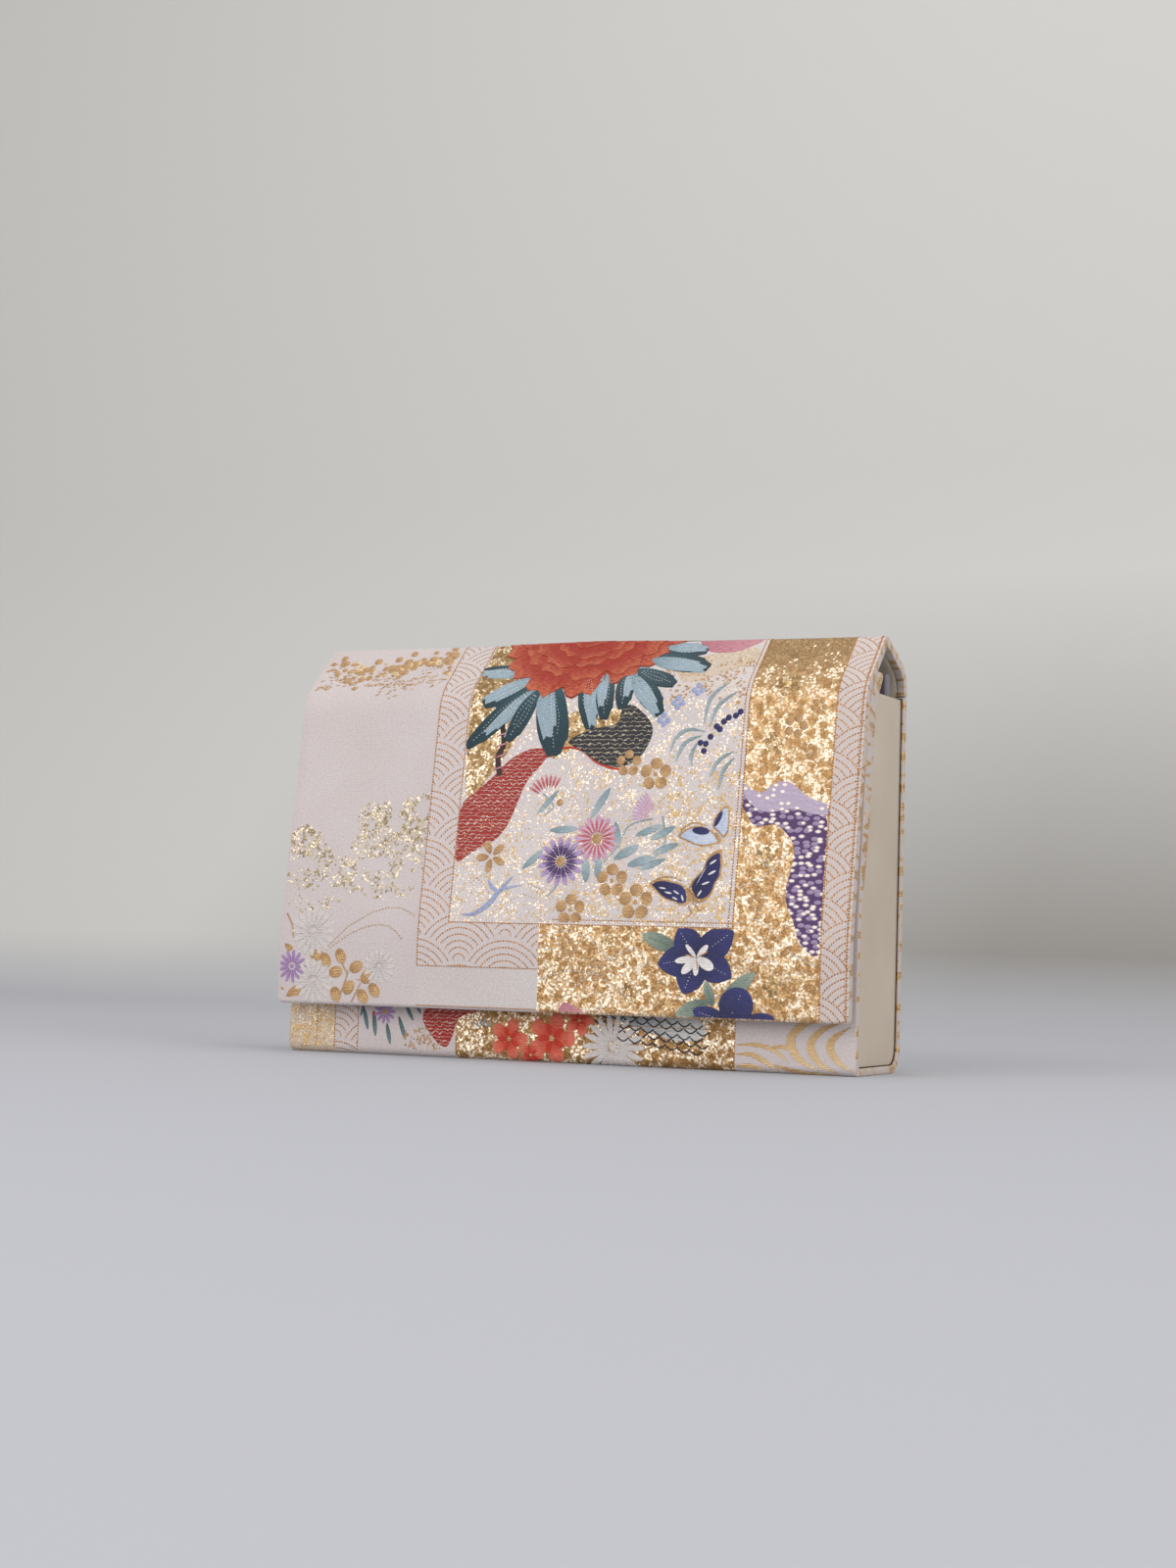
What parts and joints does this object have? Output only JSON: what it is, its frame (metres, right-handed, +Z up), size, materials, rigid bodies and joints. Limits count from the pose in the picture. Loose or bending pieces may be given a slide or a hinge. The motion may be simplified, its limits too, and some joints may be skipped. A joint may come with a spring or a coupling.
{
  "type": "clutch bag",
  "caption": "Formal clutch bag in figured brocade with a shaped front flap on a magnetic snap, cream side gussets and a padded divider.",
  "frame": {"origin": "on the table under the middle of the whole bag, flap included", "axes": "+X along the width to the right of someone facing the flap, +Y to the back, +Z up; the flap faces -Y"},
  "size_m": [0.25, 0.0648, 0.172],
  "materials": {
    "brocade": "figured silk brocade with gold thread",
    "grey_board": "plain",
    "wadding": "matt pad",
    "cream_leather": "smooth matt",
    "cream_lining": "satin",
    "grey_satin": "satin",
    "pale_gold_plate": "plated"
  },
  "bodies": {
    "bag": {"outer_cover": "brocade", "front_board": "grey_board", "base_board": "grey_board", "back_board": "grey_board", "front_pad": "wadding", "inner_lining": "cream_lining", "left_gusset": "cream_leather", "right_gusset": "cream_leather", "divider_cover": "grey_satin", "divider_core": "wadding", "slip_pocket": "cream_lining", "snap_socket": "pale_gold_plate", "socket_washer": "pale_gold_plate"},
    "flap": {"flap_cover": "brocade", "flap_top_board": "grey_board", "flap_front_board": "grey_board", "flap_lining": "cream_lining", "snap_stud": "pale_gold_plate", "stud_washer": "pale_gold_plate"}
  },
  "joints": [
    {"name": "flap_hinge", "type": "hinge", "parent": "bag", "child": "flap", "pos_m": [0, 0.0327, 0.1505], "axis": [-1, 0, 0], "range_deg": [0, 170]}
  ]
}
